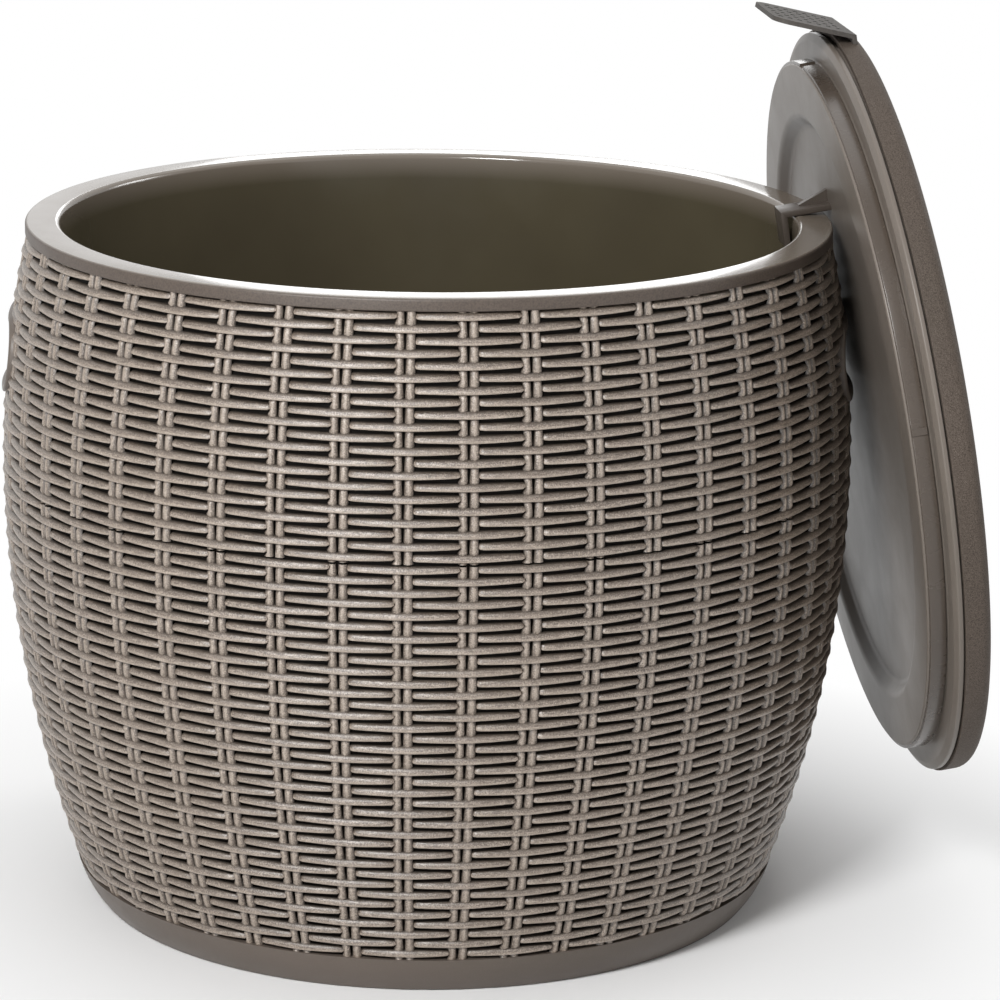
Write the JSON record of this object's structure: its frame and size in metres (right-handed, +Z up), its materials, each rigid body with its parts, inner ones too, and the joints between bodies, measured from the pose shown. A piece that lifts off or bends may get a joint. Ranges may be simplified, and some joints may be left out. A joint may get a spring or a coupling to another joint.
{
  "type": "ice bucket coffee table",
  "caption": "Barrel-shaped woven-look ice bucket with a smooth liner, recessed side grips and a foot ring; its round lid, also the table top, hangs from the rim by a hook.",
  "frame": {"origin": "centre of the foot ring, on the ground", "axes": "+Z up the barrel's axis; the pictured front faces -Y; the grips are at +X and -X, and the lid hangs at +X"},
  "size_m": [0.5243, 0.4632, 0.4806],
  "materials": {
    "weave": "warm grey-brown moulded wicker look, satin",
    "base": "warm grey-brown, smooth satin",
    "liner": "olive brown, polished",
    "grip": "warm grey-brown, smooth satin",
    "lid_top": "grey-brown, fine grain",
    "lid_under": "grey-brown, polished",
    "band": "brown, smooth, slightly glossy",
    "tab": "charcoal brown, flexible, matt",
    "drain": "dark brown, plain",
    "seal": "black, matt",
    "screw": "bright zinc plated"
  },
  "bodies": {
    "bucket": {"outer_shell_upper": "weave", "outer_shell_lower": "weave", "base_pan": "base", "inner_liner": "liner", "handle_cup_right": "grip", "handle_cup_left": "grip", "handle_screws": "screw", "shell_screws": "screw", "base_screws": "screw", "drain_fitting": "drain", "drain_nut": "drain", "drain_gasket": "seal"},
    "lid": {"lid_top": "lid_top", "lid_underside": "lid_under", "lid_seal_band": "band", "lid_hook": "lid_under", "hook_screws": "screw", "lid_tab": "tab"},
    "drain_plug": {"drain_plug": "seal"}
  },
  "joints": [
    {"name": "lid_lift", "type": "slide", "parent": "bucket", "child": "lid", "axis": [0, 0, 1], "range_m": [0, 0.34]},
    {"name": "drain_plug_pull", "type": "slide", "parent": "bucket", "child": "drain_plug", "axis": [0, 0, 1], "range_m": [0, 0.03]}
  ]
}
